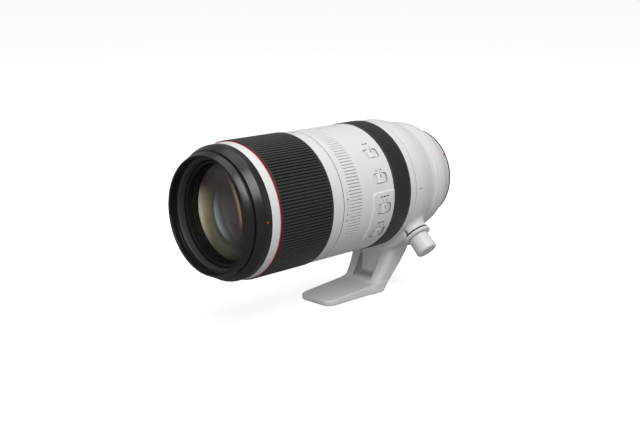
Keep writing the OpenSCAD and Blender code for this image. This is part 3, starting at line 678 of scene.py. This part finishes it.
def printed(name, words, height, radius, angle, y, turn, body):
    # Generic lettering, set as a font curve, made a thin mesh and wrapped round the barrel.
    curve = bpy.data.curves.new(name, "FONT")
    curve.body = words
    curve.size = height
    curve.align_x = "CENTER"
    curve.align_y = "CENTER"
    curve.extrude = inkLook["height"]
    curve.resolution_u = 3
    source = placed(name + "Source", curve)
    bpy.context.view_layer.update()
    flat = bpy.data.meshes.new_from_object(source)
    bpy.data.objects.remove(source)
    co = np.zeros(len(flat.vertices) * 3)
    flat.vertices.foreach_get("co", co)
    points = wrapped(co.reshape(-1, 3), radius, angle, y, turn) * mm
    flat.vertices.foreach_set("co", points.ravel())
    flat.name = name
    flat.update()
    return finish(placed(name, flat), "black_plastic", body, material="print_dark")


def strip(name, radius, angle, y, length, width, turn, body):
    # A thin printed line with square ends, as a closed slab laid on the barrel.
    along, across = np.linspace(-length / 2, length / 2, 9), np.linspace(-width / 2, width / 2, 5)
    u, v = np.meshgrid(along, across, indexing="ij")
    sheets = [np.stack([u, v, u * 0 + h], -1).reshape(-1, 3) for h in (inkLook["height"], -inkLook["depth"])]
    top, bottom = [wrapped(sheet, radius, angle, y, turn) for sheet in sheets]
    faces = gridFaces(9, 5, False, False)
    ring, below = borderOf(9, 5), len(top)
    side = np.stack([ring, np.roll(ring, -1), np.roll(ring, -1) + below, ring + below], -1)
    points = np.vstack([top, bottom])
    faces = outward(points, np.vstack([faces, faces[:, ::-1] + below, side[:, ::-1]]))
    return finish(meshObject(name, points, faces, smooth=False), "black_plastic", body, material="print_dark")


labelLook = dict(
    size=2.7, lift=5.4, title=8.4, gap=0.7, bar=0.8, pointer=2.5, pointerWidth=0.7, pointerTurn=1.75,
)
for node, words in (
    ("limit_switch", "1    2"), ("focus_switch", "A   M"),
    ("stabiliser_switch", "1   0"), ("mode_switch", "1   2   3"),
):
    place = switchPlaces[node]
    radius = bodyR + place["rise"]
    printed(node + "Label", words, labelLook["size"], radius + inkLook["height"],
            place["angle"] + math.degrees(labelLook["lift"] / bodyR), place["y"], 0, "barrel")
    strip(node + "Pointer", radius + sliderLook["proud"] + 0.02, place["angle"] + labelLook["pointerTurn"],
          place["y"], labelLook["pointer"], labelLook["pointerWidth"], 90, node)
titleBars = {  # lengths of the plain bars that stand for a title
    "limit_switch": (2.2, 2.2), "stabiliser_switch": (2.0, 3.0, 2.0), "mode_switch": (2.6, 3.4),
}
for node, lengths in titleBars.items():
    place = switchPlaces[node]
    start = place["y"] - (sum(lengths) + labelLook["gap"] * (len(lengths) - 1)) / 2
    for i, length in enumerate(lengths):
        strip(f"{node}Title{i}", bodyR + place["rise"],
              place["angle"] + math.degrees(labelLook["title"] / bodyR),
              start + length / 2, length, labelLook["bar"], 0, "barrel")
        start += length + labelLook["gap"]

# Torque ring: a double arrow along the rim between a minus and a plus.
arrowLook = dict(station=3.4, length=12.0, line=0.28, barb=1.3, barbIn=0.55, barbOut=0.32, signs=9.5,
                 sign=1.6, signLine=0.3)
arrowY = torqueY0 + arrowLook["station"]
signTurn = math.degrees(arrowLook["signs"] / bodyR)
barbTurn = math.degrees((arrowLook["length"] / 2 - arrowLook["barbIn"]) / bodyR)
strip("torqueArrow", bodyR, 0, arrowY, arrowLook["length"], arrowLook["line"], 90, "torque_ring")
for side in (1, -1):
    for turn in (60, 120):
        out = -arrowLook["barbOut"] if (turn == 60) == (side > 0) else arrowLook["barbOut"]
        strip(f"torqueBarb{side}{turn}".replace("-", "m"), bodyR, barbTurn * side, arrowY + out,
              arrowLook["barb"], arrowLook["line"], turn, "torque_ring")
for markName, angle, turn in (
    ("torqueMinus", signTurn, 90), ("torquePlusA", -signTurn, 90), ("torquePlusB", -signTurn, 0),
):
    strip(markName, bodyR, angle, arrowY, arrowLook["sign"], arrowLook["signLine"], turn, "torque_ring")

# Focal length figures on top of the fixed barrel, and the index line on the zoom band.
scaleLook = dict(size=2.4, ahead=4.4, index=88, marks={"100": 88, "200": 106, "300": 124, "500": 142})
for words, angle in scaleLook["marks"].items():
    printed("focalLength" + words, words, scaleLook["size"], bodyR + inkLook["height"],
            angle, torqueY0 - scaleLook["ahead"], 90, "zoom_ring")
strip("zoomIndex", bodyR, scaleLook["index"], switchY0 + 3.0, 3.0, 0.45, 0, "barrel")

# Collar: index dash, and the dark split of the clamp in its front face.
strip("collarIndex", bodyR, 2, collarTop + 4.5, 3.4, 0.4, 0, "tripod_collar")
splitLook = dict(angle=-40.5, inner=46.3, outer=50.4, width=0.55, proud=0.04, deep=0.5)
splitAngle = math.radians(splitLook["angle"])
cosine, sine = math.cos(splitAngle), math.sin(splitAngle)
splitPoints = np.array([
    (r * cosine - w * sine, y, axisZ + r * sine + w * cosine)
    for y in (collarTop - splitLook["proud"], collarTop + splitLook["deep"])
    for r, w in (
        (splitLook[edge], side * splitLook["width"] / 2)
        for edge, side in (("inner", -1), ("outer", -1), ("outer", 1), ("inner", 1))
    )
])
splitFaces = np.array([(0, 1, 2, 3), (7, 6, 5, 4), (0, 4, 5, 1), (1, 5, 6, 2), (2, 6, 7, 3), (3, 7, 4, 0)])
collarSplit = meshObject("collarSplit", splitPoints, outward(splitPoints, splitFaces), smooth=False)
finish(collarSplit, "black_plastic", "tripod_collar", material="print_dark")
print("marks made")

low, high = boxOf("seat_barrel")
seatY0 = low[1]
collarLow, collarHigh = boxOf("tripod_collar")
seatLook = dict(lip=6.2, sleeve=41.8, bore=39.6)  # length of the lip, radii of the collar's seat
seatRing = roundedRing(
    "seatRing", [
        (bodyR - 2.6, seatY0), (bodyR, seatY0), (bodyR, seatY0 + seatLook["lip"]),
        (seatLook["sleeve"], seatY0 + seatLook["lip"]), (seatLook["sleeve"], high[1]),
        (seatLook["bore"], high[1]), (seatLook["bore"], seatY0 + 5), (bodyR - 2.6, seatY0 + 5),
    ], (0, 0.3, 0.3, 0.1, 0, 0, 0, 0), 3, 2.0,
)
finish(seatRing, "white_paint", "barrel", "seat_barrel")

low, high = boxOf("rear_barrel")
rearY0, rearY1 = low[1], high[1]
rearBarrel = roundedRing(
    "rearBarrel",
    [(39.1, rearY0), (41.3, rearY0), (41.3, rearY0 + 3.8), (40.5, rearY0 + 4.4), (40.5, rearY0 + 5.6),
     (41.3, rearY0 + 6.2), (41.3, rearY0 + 11.2), (40.3, rearY1 - 12.5), (37.1, rearY1 - 6.6),
     (34.4, rearY1 - 1), (34.1, rearY1), (25, rearY1), (25, rearY1 - 3), (32.5, rearY1 - 3),
     (34.9, rearY1 - 7), (38.2, rearY0 + 16.2), (39.1, rearY0 + 11.2)],
    (0, 0.3, 0.5, 0.4, 0.4, 0.5, 6, 12, 8, 0.4, 0.3, 0, 0, 0, 0, 0, 0), 6, 1.5, 300,
)
finish(rearBarrel, "white_paint", "barrel", "rear_barrel")
print("rear barrel made")

low, high = boxOf("front_ring")
frontY = low[1]
frontLook = dict(notchDepth=1.1, notches=(180, 312), threadR=38.1, threadPitch=0.375, threadDepth=0.22)
frontCorners = [
    (39.0, 0.0), (39.4, 0.0), (39.7, 0.4), (40.3, 2.0), (41.3, 4.0), (41.5, 5.0), (40.6, 5.2),
    (40.6, 6.0), (42.2, 6.2), (43.2, 8.0), (44.9, 11.2), (45.1, 12.4), (45.1, 16.8), (40.3, 16.8),
    (40.3, 11.6), (36.6, 11.6), (36.6, 5.4), (38.1, 5.1),
]
frontRadii = (0.1, 0.15, 0.3, 1.0, 1.0, 0.3, 0.1, 0.1, 0.3, 2.0, 2.0, 1.0, 0.25, 0, 0, 0, 0.2, 0.1)
thread = [
    (frontLook["threadR"] + frontLook["threadDepth"] * (i % 2), 4.9 - frontLook["threadPitch"] / 2 * i)
    for i in range(23)
]
frontOutline = np.vstack([rounded(frontCorners, frontRadii, 4), thread])
frontOutline[:, 1] += frontY


def bayonetNotches(a, r, s):
    # Cuts notches through the outer lip in front of the groove.
    degrees = np.degrees(a)[..., None]
    apart = np.abs((degrees - np.array(frontLook["notches"]) + 180) % 360 - 180).min(-1)
    gap = 1 - smoothStep(2.6, 3.1, apart)
    lip = smoothStep(frontY + 2.6, frontY + 2.9, s) * (1 - smoothStep(frontY + 5.3, frontY + 5.6, s))
    return r - np.where(r > 39.5, frontLook["notchDepth"] * gap * lip * (r > 40.2), 0)


frontRing = turned("frontRing", divided(frontOutline, 0.9), angles=360, shape=bayonetNotches)
finish(frontRing, "front_black", "front_barrel", "front_ring")

trimLook = dict(inner=40.3, redInner=44.7, shift=0.45)  # shift: the white ring reaches over the red
low, high = boxOf("name_ring")
nameEnd = high[1] + trimLook["shift"]
nameRing = roundedRing(
    "nameRing", [(trimLook["inner"], low[1]), (45.15, low[1]), (45.6, nameEnd), (trimLook["inner"], nameEnd)],
    (0, 0.3, 0.1, 0), 3, 1.5,
)
finish(nameRing, "white_paint", "front_barrel", "name_ring")
low, high = boxOf("red_ring")
redStart = low[1] + trimLook["shift"]
redInner = trimLook["redInner"]
redRing = roundedRing(
    "redRing", [(redInner, redStart), (45.75, redStart), (45.9, high[1]), (redInner, high[1])],
    (0, 0.15, 0.15, 0), 5, 1.5,
)
finish(redRing, "trim_red", "front_barrel", "red_ring")
trimBack = np.array([  # black behind the red edge
    (trimLook["inner"], redStart + 0.01), (redInner, redStart + 0.01),
    (redInner, high[1]), (trimLook["inner"], high[1]),
])
finish(turned("trimBack", trimBack, angles=240), "black_anodised", "front_barrel")

retainerWall = np.array([(36.6, 5.6), (36.6, 11.6), (35.6, 11.6), (35.9, 10.6), (36.15, 5.6)])
retainerWall[:, 1] += frontY
# The retainer's wall takes the lighter black: painted light for its lit band.
frontRetainer = turned("frontRetainer", divided(retainerWall, 1.5), angles=300)
finish(frontRetainer, "front_black", "front_barrel", "front_retainer", material="retainer_lit_black")
# The lip that holds the front glass.
retainerLip = rounded([(35.8, 11.6), (33.4, 11.6), (33.4, 11.1), (35.8, 10.5)], (0, 0.1, 0.2, 0), 3)
retainerLip[:, 1] += frontY
lipPiece = turned("retainerLip", retainerLip, angles=300)
finish(lipPiece, "front_black", "front_barrel", material="black_anodised")
print("front rings made")


def gapBand(name, y0, y1, body, r):
    # A thin black ring below a joint, so that the joint reads as a dark line.
    outline = np.array([(r - 0.6, y0), (r, y0), (r, y1), (r - 0.6, y1)])
    return finish(turned(name, outline, angles=240), "black_anodised", body)


gapBand("zoomGap", torqueY0 - 0.35, torqueY0 + 0.1, "barrel", bodyR - 0.12)
gapBand("collarGap", seatY0 + 5.9, seatY0 + 6.7, "barrel", 45.5)
gapBand("tailGap", rearY0 - 0.3, rearY0 + 0.1, "barrel", 41.0)


def lensPiece(name, radius, y0, y1, frontSag, backSag, node, material, rim=0.8):
    # A lens turned from a front arc, a flat rim and a back arc; the sag falls off with the square
    # of the radius. The pole is welded.
    t = np.linspace(0, 1, 40)
    clear = radius - rim
    front = np.stack([clear * t, y0 - frontSag * (1 - t**2)], -1)
    back = np.stack([clear * t[::-1], y1 + backSag * (1 - t[::-1] ** 2)], -1)
    outline = np.vstack([front, [(radius, y0), (radius, y1)], back])
    lens = turned(name, outline, angles=160, weld=0.0005)
    return finish(lens, "coated_glass", "front_barrel", node, material=material)


secondY = boxOf("second_element")[0][1]
lensPiece("frontGlass", 34.2, frontY + 11.6, frontY + 16.6, 3.6, -1.6, "front_element", "front_coat")
lensPiece("secondGlass", 34.2, secondY, secondY + 6.5, -1.2, 1.8, "second_element", "inner_reflections", 3.2)
print("lenses made")

knobLook = dict(angle=-43.5, root=53.4, neck=7.4, grip=8.0, brow=65.2, face=5.8, end=66.6)
knobAngle = math.radians(knobLook["angle"])  # the clamp's side of the collar
knobOut = np.array((math.cos(knobAngle), 0, math.sin(knobAngle)))
a, b = boxOf("clamp_knob")
knobY = (a[1] + b[1]) / 2
knobAxis = Axis((0, knobY, axisZ), knobOut, (0, 1, 0))
knobOutline = rounded([
    (0.02, knobLook["root"]), (knobLook["neck"], knobLook["root"]), (7.6, 54.0),
    (knobLook["grip"], knobLook["brow"]), (7.4, 66.3), (knobLook["face"], knobLook["end"]),
    (0.02, knobLook["end"]),
], (0, 0.5, 0.8, 1.3, 1.0, 1.0, 0), 6)
clampKnob = turned("clampKnob", divided(knobOutline, 1.2), axis=knobAxis, angles=128, weld=0.03)
finish(clampKnob, "collar_paint", "clamp_knob", "clamp_knob")
print("knob made")

castLook = dict(
    step=0.62, bore=41.92, hubR=51.0, bossR=10.9, bossTop=53.2, padR=10.0, padTop=50.3,
    stemWidths=(16.7, 16.7, 19.8, 20.0), pocketWidths=(9.0, 10.0), footToe=15.3, footHeel=16.7,
)
collarY0, collarY1 = collarTop, collarTop + 22.3


def softMax(k, *fields):
    # Maximum of several fields with a round of size k where two of them meet.
    out = fields[0]
    for f in fields[1:]:
        h = np.clip(0.5 - 0.5 * (out - f) / k, 0, 1)
        out = out + (f - out) * h + k * h * (1 - h)
    return out


def softMin(k, *fields):
    # Minimum of several fields, blended in the same way.
    return -softMax(k, *[-f for f in fields])


def polygonField(px, py, corners):
    # Signed distance from points to a closed polygon, edge by edge over whole arrays.
    corners = np.array(corners, float)
    best = np.full(px.shape, 1e9)
    sign = np.ones(px.shape)
    for (ax, ay), (bx, by) in zip(corners, np.roll(corners, -1, axis=0)):
        ex, ey = bx - ax, by - ay
        wx, wy = px - ax, py - ay
        t = np.clip((wx * ex + wy * ey) / (ex * ex + ey * ey), 0, 1)
        best = np.minimum(best, (wx - ex * t) ** 2 + (wy - ey * t) ** 2)
        c1, c2, c3 = py >= ay, py < by, ex * wy > ey * wx
        flip = (c1 & c2 & c3) | (~c1 & ~c2 & ~c3)
        sign = np.where(flip, -sign, sign)
    return sign * np.sqrt(best)


ringProfile = (  # distances behind the collar's front face, and the ring's radius there
    (0, 7.5, 10.5, 13.3, 16.5, 19.3, 22.3), (46, 46, 45.62, 45.0, 44.2, 43.4, 42.6),
)
stemBack = [
    (32.8, 0.4), (35.4, 2.0), (41.0, 8.0), (49.2, 18.5),
    (57.0, 30.5), (57.0, 38.0), (12.0, 38.0), (12.0, 0.4),
]
stemFrontZ = (4.0, 8.0, 12.4, 16.8, 21.6, 24.7, 28.8, 32.0, 38.0)
stemFrontY = (20.0, 25.0, 28.3, 31.4, 33.8, 35.2, 37.4, 38.4, 38.6)
pocketOutline = [
    (16.0, 8.0), (33.4, 9.3), (36.4, 10.8), (37.6, 13.5), (37.8, 30.5), (20.0, 30.5),
]


def castField(x, y, z):
    # The casting as a field that is negative inside: collar ring, hub, boss, stem and foot,
    # blended where they meet, minus the bore.
    zr = z - axisZ
    r = np.hypot(x, zr)
    angle = np.arctan2(zr, x)
    middle, half = (collarY0 + collarY1) / 2, (collarY1 - collarY0) / 2
    ends = np.abs(y - middle) - half
    outerR = np.interp(y - collarY0, *ringProfile)
    ring = softMax(0.6, (r - outerR) * 0.97, ends)
    sideA = r * np.sin(angle - knobAngle)
    sideB = r * np.sin(-math.pi - knobAngle - angle)
    hub = softMax(1.4, r - castLook["hubR"], sideA, sideB, ends, zr)
    along = x * knobOut[0] + zr * knobOut[2]
    off = np.sqrt(np.maximum(x * x + zr * zr + (y - knobY) ** 2 - along**2, 0))
    boss = softMax(0.8, off - castLook["bossR"], along - castLook["bossTop"], 51.0 - along)
    pad = softMax(0.5, off - castLook["padR"], along - castLook["padTop"], 40.0 - along)
    stalk = np.maximum(np.maximum(off - 9.2, along - 52.0), 48.0 - along)
    width = np.interp(z, (0, 8, 28, 40), castLook["stemWidths"])
    stem = softMax(1.5, polygonField(y, z, stemBack), (np.abs(x) - width) * 0.98)
    stem = softMax(5.5, stem, (np.interp(z, stemFrontZ, stemFrontY) - y) * 0.86)
    pocketWidth = np.interp(z, (8, 30), castLook["pocketWidths"])
    pocket = softMax(1.6, polygonField(y, z, pocketOutline), np.abs(x) - pocketWidth)
    side = np.abs(x) - np.interp(y, (-23, 34.5), (castLook["footToe"], castLook["footHeel"]))
    toe = softMax(7.0, side, -23.0 - y)
    plan = softMax(3.0, toe, y - 34.3 - 0.3 * z)
    top = np.interp(y, (-23, -20, 27, 40), (4.0, 4.3, 7.4, 7.8))
    foot = softMax(1.0, plan, z - top)
    foot = softMax(1.3, foot, -z)
    lower = softMax(1.3, softMin(2.2, stem, foot), -pocket)
    lower = softMin(3.0, lower, hub)
    skirt = softMax(0.5, softMin(4.5, ring, pad), ends)
    solid = softMin(0.5, skirt, lower)
    solid = np.minimum(np.minimum(solid, stalk), boss)
    solid = np.maximum(solid, castLook["bore"] - r)
    bush = np.maximum(np.hypot(x, y) - 4.52, z - 4.85)
    return np.maximum(solid, -bush)


def surfaceNet(field, low, high, step):
    # The zero surface of a field: one vertex in each grid cell that the surface crosses, at the
    # mean of its edge crossings, a quad across each crossed grid edge, then four steps along the
    # field's gradient to bring every vertex onto the surface.
    axes = [np.arange(a, b + step, step) for a, b in zip(low, high)]
    gx, gy, gz = np.meshgrid(*axes, indexing="ij")
    value = field(gx, gy, gz)
    shape = np.array(value.shape)
    inside = value < 0
    total = np.zeros((*(shape - 1), 3))
    count = np.zeros(shape - 1)
    corners = [np.array(c) for c in np.ndindex(2, 2, 2)]

    def part(array, c):  # the array's values at one corner of every cell
        return array[c[0]: c[0] + shape[0] - 1, c[1]: c[1] + shape[1] - 1, c[2]: c[2] + shape[2] - 1]

    for axis in range(3):
        for c in corners:
            if c[axis]:
                continue
            d = c.copy()
            d[axis] = 1
            va, vb = part(value, c), part(value, d)
            cross = (va < 0) != (vb < 0)
            t = np.where(cross, va / np.where(cross, va - vb, 1), 0)
            for k in range(3):
                total[..., k] += np.where(cross, c[k] + (t if k == axis else 0), 0)
            count += cross
    active = count > 0
    index = np.full(active.shape, -1)
    index[active] = np.arange(active.sum())
    cell = np.argwhere(active)
    points = (cell + total[active] / count[active][:, None]) * step + np.array([a[0] for a in axes])
    faces = []
    for axis in range(3):
        b, c = (axis + 1) % 3, (axis + 2) % 3
        take = [slice(1, n - 1) for n in shape]
        take[axis] = slice(0, shape[axis] - 1)
        beyond = list(take)
        beyond[axis] = slice(1, shape[axis])
        change = inside[tuple(take)] != inside[tuple(beyond)]
        at = np.argwhere(change)
        at[:, b] += 1
        at[:, c] += 1
        first = inside[tuple(take)][change]
        steps = [(0, 0), (1, 0), (1, 1), (0, 1)]
        quad = []
        for db, dc in steps:
            q = at.copy()
            q[:, b] -= db
            q[:, c] -= dc
            quad.append(index[q[:, 0], q[:, 1], q[:, 2]])
        quad = np.stack(quad, -1)
        quad[~first] = quad[~first][:, ::-1]
        faces.append(quad)
    h = 0.02
    for _ in range(4):
        f = field(*points.T)
        slope = np.stack([
            field(*(points + h * e).T) - field(*(points - h * e).T) for e in np.eye(3)
        ], -1) / (2 * h)
        norm = np.maximum((slope**2).sum(1), 0.2)
        move = slope * (f / norm)[:, None]
        size = np.linalg.norm(move, axis=1, keepdims=True)
        points = points - move * np.minimum(1, 0.25 * step / np.maximum(size, 1e-9))
    return points, np.vstack(faces)


castPoints, castFaces = surfaceNet(castField, collarLow - 1.0, collarHigh + 1.0, castLook["step"])
castPoints = np.clip(castPoints, collarLow, collarHigh)
castFaces = outward(castPoints, castFaces)
collarCasting = meshObject("collarCasting", castPoints, castFaces)
finish(collarCasting, "collar_paint", "tripod_collar", "tripod_collar", material="casting_paint")

# Attribute "hollow": 1 on the pocket's side walls and along its foot, where the light hardly reaches.
px, py, pz = castPoints.T
sideways = np.abs(px)
behind = smoothStep(0.5, 1.6, py - np.interp(pz, stemFrontZ, stemFrontY)) * (sideways < 10.6) * (py < 39.5)
wall = smoothStep(8.1, 9.0, sideways) * smoothStep(8.5, 10.0, pz) * (1 - smoothStep(23.0, 28.0, pz))
base = smoothStep(29.0, 34.0, py) * (1 - smoothStep(10.2, 13.6, pz))
base = base * (pz > 6) * (py < 39) * (sideways < 9.6)
hollow = np.clip(np.maximum(behind * wall, base * 0.9), 0, 1)
collarCasting.data.attributes.new("hollow", "FLOAT", "POINT").data.foreach_set("value", hollow)

# The shadow line between the casting and the disc under the knob.
creaseOutline = np.array([(8.6, 50.0), (10.3, 50.0), (10.3, 51.3), (8.6, 51.3)])
finish(turned("bossCrease", creaseOutline, axis=knobAxis, angles=128), "black_anodised", "tripod_collar")
print("collar casting made:", len(castPoints), "points")

studioLook = dict(
    floorHalf=6.0, floorSeenByLens=0.30, floorSeenByCamera=0.93, floorGlow=0.62,
    skyOnLens=0.35, skyBehind=1.25,
)
half = studioLook["floorHalf"]
floorCorners = [(-half, -half, 0), (half, -half, 0), (half, half, 0), (-half, half, 0)]
floorMesh = bpy.data.meshes.new("studioFloor")
floorMesh.from_pydata(floorCorners, [], [(0, 1, 2, 3)])
studioFloor = placed("studioFloor", floorMesh)
floorFinish, floorTree, floorShader = newMaterial("studio_floor", Roughness=0.9)
toCamera = addNode(floorTree, "LightPath", {}).outputs["Is Camera Ray"]
floorTone = addNode(floorTree, "Mix", {
    "A": (*[studioLook["floorSeenByLens"]] * 3, 1), "B": (*[studioLook["floorSeenByCamera"]] * 3, 1),
    "Factor": toCamera,
}, data_type="RGBA")
floorTree.links.new(floorTone.outputs["Result"], floorShader.inputs["Base Color"])
floorShader.inputs["Emission Color"].default_value = (1, 1, 1, 1)
floorGain = addNode(floorTree, "MapRange", {
    "To Max": studioLook["floorGlow"], "Value": toCamera,  # a back-lit table behind the lens
})
floorTree.links.new(floorGain.outputs["Result"], floorShader.inputs["Emission Strength"])
studioFloor.data.materials.append(floorFinish)


def areaLight(name, place, target, size, power):
    # A softbox at a place, turned so that it shines at its target.
    data = bpy.data.lights.new(name, "AREA")
    data.shape = "RECTANGLE"
    data.size, data.size_y = size
    data.energy = power
    lamp = placed(name, data)
    lamp.location = place
    direction = Vector(target) - Vector(place)
    lamp.rotation_euler = direction.to_track_quat("-Z", "Y").to_euler()


lensMiddle, footMiddle = (0, -0.01, 0.07), (0, 0.02, 0.03)
lightLook = {  # place, aim, size in metres and power in watts
    "keySoftbox": ((0.80, -0.35, 1.05), lensMiddle, (0.5, 0.9), 10.0),
    "frontSoftbox": ((0.25, -1.10, 0.28), footMiddle, (0.8, 0.5), 1.9),
    "topSoftbox": ((-0.15, 0.1, 1.3), lensMiddle, (0.9, 0.9), 4.0),
    "rearSoftbox": ((0.95, 0.75, 0.45), lensMiddle, (0.4, 0.8), 0.4),
}
for lightName, values in lightLook.items():
    areaLight(lightName, *values)

world = bpy.data.worlds.new("studioWorld")
world.use_nodes = True
worldTree = world.node_tree
worldGain = addNode(worldTree, "MapRange", {
    "To Min": studioLook["skyOnLens"], "To Max": studioLook["skyBehind"],
    "Value": addNode(worldTree, "LightPath", {}).outputs["Is Camera Ray"],
})
worldTree.links.new(worldGain.outputs["Result"], worldTree.nodes["Background"].inputs["Strength"])
worldTree.nodes["Background"].inputs["Color"].default_value = (1, 1, 1, 1)
bpy.context.scene.world = world
bpy.context.scene.view_settings.view_transform = "Standard"

cameraLook = dict(place=(0.52127, -0.53793, 0.23927), azimuth=45.0, elevation=13.28, lens=60.0)
cameraData = bpy.data.cameras.new("camera")
cameraData.lens = cameraLook["lens"]
cameraData.sensor_width = 36.0
camera = placed("camera", cameraData)
camera.location = cameraLook["place"]
az, el = math.radians(cameraLook["azimuth"]), math.radians(cameraLook["elevation"])
look = Vector((-math.sin(az) * math.cos(el), math.cos(az) * math.cos(el), -math.sin(el)))
camera.rotation_euler = look.to_track_quat("-Z", "Y").to_euler()
bpy.context.scene.camera = camera
